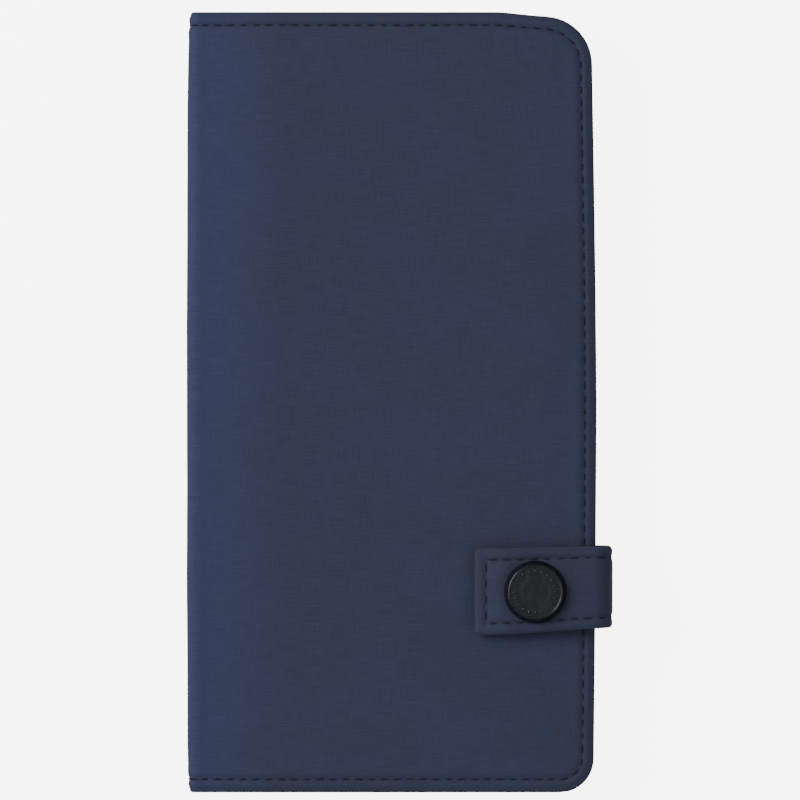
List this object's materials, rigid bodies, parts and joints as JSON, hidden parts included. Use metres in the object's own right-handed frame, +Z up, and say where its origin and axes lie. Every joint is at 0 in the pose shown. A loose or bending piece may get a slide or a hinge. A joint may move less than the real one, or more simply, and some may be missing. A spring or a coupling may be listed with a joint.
{
  "type": "passport holder wallet",
  "caption": "Tall folding travel wallet in navy fabric with a soft spine, inner passport, ticket, card and zip pockets, and a strap that snaps over the fore-edge",
  "frame": {"origin": "On the surface that the closed wallet lies on, under the middle of its bounding box", "axes": "+Z up out of the front cover, +Y towards the wallet's top edge, +X towards the fore-edge and strap, spine at -X"},
  "size_m": [0.1156, 0.212, 0.022],
  "materials": {
    "outer_fabric": "dark navy fine-weave nylon, matt with a faint sheen",
    "strap_fabric": "dark navy fine-weave nylon, topstitched round its edge",
    "lining_fabric": "plain-weave navy lining, matt",
    "board": "grey-brown fibre board, hidden in the covers",
    "snap_metal": "black enamelled brass, satin",
    "spring_steel": "bright spring wire",
    "zip_tape": "woven zip tape, matt",
    "zip_teeth": "dark nylon teeth, satin",
    "zip_metal": "black enamelled zinc, satin"
  },
  "bodies": {
    "back_cover": {"back_outer_panel": "outer_fabric", "back_stiffener": "board", "back_lining": "lining_fabric", "strap_anchor": "strap_fabric", "document_pocket_panel": "lining_fabric", "document_pocket_seam_fore": "lining_fabric", "document_pocket_seam_top": "lining_fabric", "document_pocket_seam_bottom": "lining_fabric", "card_slot_1": "lining_fabric", "card_slot_2": "lining_fabric", "card_slot_3": "lining_fabric", "card_slot_4": "lining_fabric", "zip_pocket_back_panel": "lining_fabric", "zip_pocket_front_panel": "lining_fabric", "zip_pocket_header": "lining_fabric", "zip_pocket_seam_spine": "lining_fabric", "zip_pocket_seam_fore": "lining_fabric", "zip_pocket_seam_bottom": "lining_fabric", "zip_tape_lower": "zip_tape", "zip_tape_upper": "zip_tape", "zip_teeth_lower": "zip_teeth", "zip_teeth_upper": "zip_teeth", "zip_start_stop": "zip_metal", "zip_end_stop": "zip_metal"},
    "spine": {"spine_outer_panel": "outer_fabric", "spine_stiffener": "board", "spine_lining": "lining_fabric"},
    "front_cover": {"front_outer_panel": "outer_fabric", "front_stiffener": "board", "front_lining": "lining_fabric", "passport_pocket_panel": "lining_fabric", "passport_pocket_seam_fore": "lining_fabric", "passport_pocket_seam_spine": "lining_fabric", "passport_pocket_seam_bottom": "lining_fabric", "slip_pocket_panel": "lining_fabric", "snap_stud": "snap_metal", "snap_stud_rivet": "snap_metal"},
    "strap_loop": {"strap_loop_outer": "strap_fabric", "strap_loop_backing": "strap_fabric"},
    "strap_tab": {"strap_tab_outer": "strap_fabric", "strap_tab_stiffener": "board", "strap_tab_backing": "strap_fabric", "snap_cap": "snap_metal", "snap_socket": "snap_metal", "snap_spring_ring": "spring_steel"},
    "zip_slider": {"zip_slider_body": "zip_metal"},
    "zip_pull": {"zip_pull_tab": "zip_metal"}
  },
  "joints": [
    {"name": "spine_fold", "type": "hinge", "parent": "back_cover", "child": "spine", "pos_m": [-0.05665, 0, 0.0011], "axis": [0, -1, 0], "range_deg": [0, 89]},
    {"name": "front_cover_open", "type": "hinge", "parent": "spine", "child": "front_cover", "pos_m": [-0.05665, 0, 0.0139], "axis": [0, -1, 0], "range_deg": [0, 89]},
    {"name": "strap_loop_open", "type": "hinge", "parent": "back_cover", "child": "strap_loop", "pos_m": [0.05665, -0.0506, 0.0011], "axis": [0, 1, 0], "range_deg": [0, 85]},
    {"name": "strap_tab_open", "type": "hinge", "parent": "strap_loop", "child": "strap_tab", "pos_m": [0.05665, -0.0506, 0.0185], "axis": [0, 1, 0], "range_deg": [0, 85]},
    {"name": "zip_slide", "type": "slide", "parent": "back_cover", "child": "zip_slider", "axis": [-1, 0, 0], "range_m": [0, 0.074]},
    {"name": "zip_pull_swing", "type": "hinge", "parent": "zip_slider", "child": "zip_pull", "pos_m": [0.039, -0.028, 0.00775], "axis": [0, 1, 0], "range_deg": [0, 12]}
  ],
  "couplings": [
    {"joint": "spine_fold", "follows": "front_cover_open", "ratio": 1},
    {"joint": "strap_loop_open", "follows": "strap_tab_open", "ratio": 1}
  ]
}
